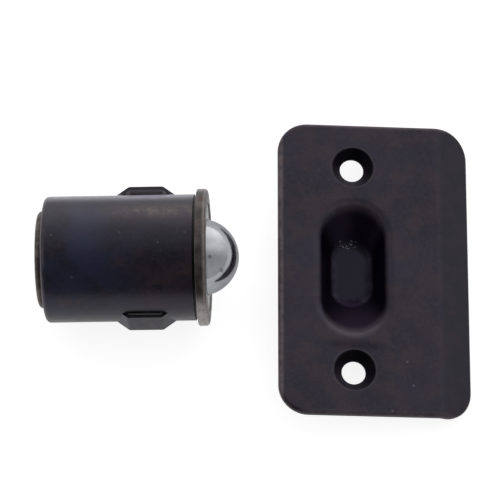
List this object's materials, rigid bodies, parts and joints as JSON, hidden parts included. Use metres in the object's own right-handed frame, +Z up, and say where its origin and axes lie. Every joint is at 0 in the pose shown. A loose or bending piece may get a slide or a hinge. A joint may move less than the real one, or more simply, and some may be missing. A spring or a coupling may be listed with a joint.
{
  "type": "ball catch",
  "caption": "Drive-in ball catch with a sprung steel ball in a ribbed barrel, and its full-lip strike plate with a pressed cup, laid side by side.",
  "frame": {"origin": "centre of the overall box in plan, on the surface that both halves lie on", "axes": "+X from the catch to its strike, close to the catch's axis, which rises 2.07 degrees towards the ball; +Y along the strike's long side; +Z up, out of the surface"},
  "size_m": [0.0804, 0.0572, 0.0254],
  "materials": {
    "blackened_sleeve": "satin blue-black oxide on steel",
    "bronzed_flange": "worn oil-rubbed bronze on steel",
    "blackened_nose": "gloss black oxide on steel",
    "bronzed_cap": "worn oil-rubbed bronze on steel",
    "ball_steel": "satin ground steel",
    "seat_brass": "turned brass",
    "spring_steel": "drawn spring wire",
    "strike_black": "matt dark bronze-black on steel"
  },
  "bodies": {
    "root": {"grip_sleeve": "blackened_sleeve", "face_flange": "bronzed_flange", "ball_housing": "blackened_nose", "rear_cap": "bronzed_cap", "coil_spring": "spring_steel", "strike_plate": "strike_black"},
    "plunger": {"ball_seat": "seat_brass"},
    "rolling_ball": {"ball": "ball_steel"}
  },
  "joints": [
    {"name": "plunger_slide", "type": "slide", "parent": "root", "child": "plunger", "axis": [-0.9993, 0, -0.0361], "range_m": [0, 0.0055], "stiffness_N_per_m": 4000, "springref_m": -0.004, "deforming": ["coil_spring"]},
    {"name": "ball_roll", "type": "hinge", "parent": "plunger", "child": "rolling_ball", "pos_m": [-0.00991, 0, 0.0127], "axis": [0, 1, 0], "continuous": true}
  ]
}
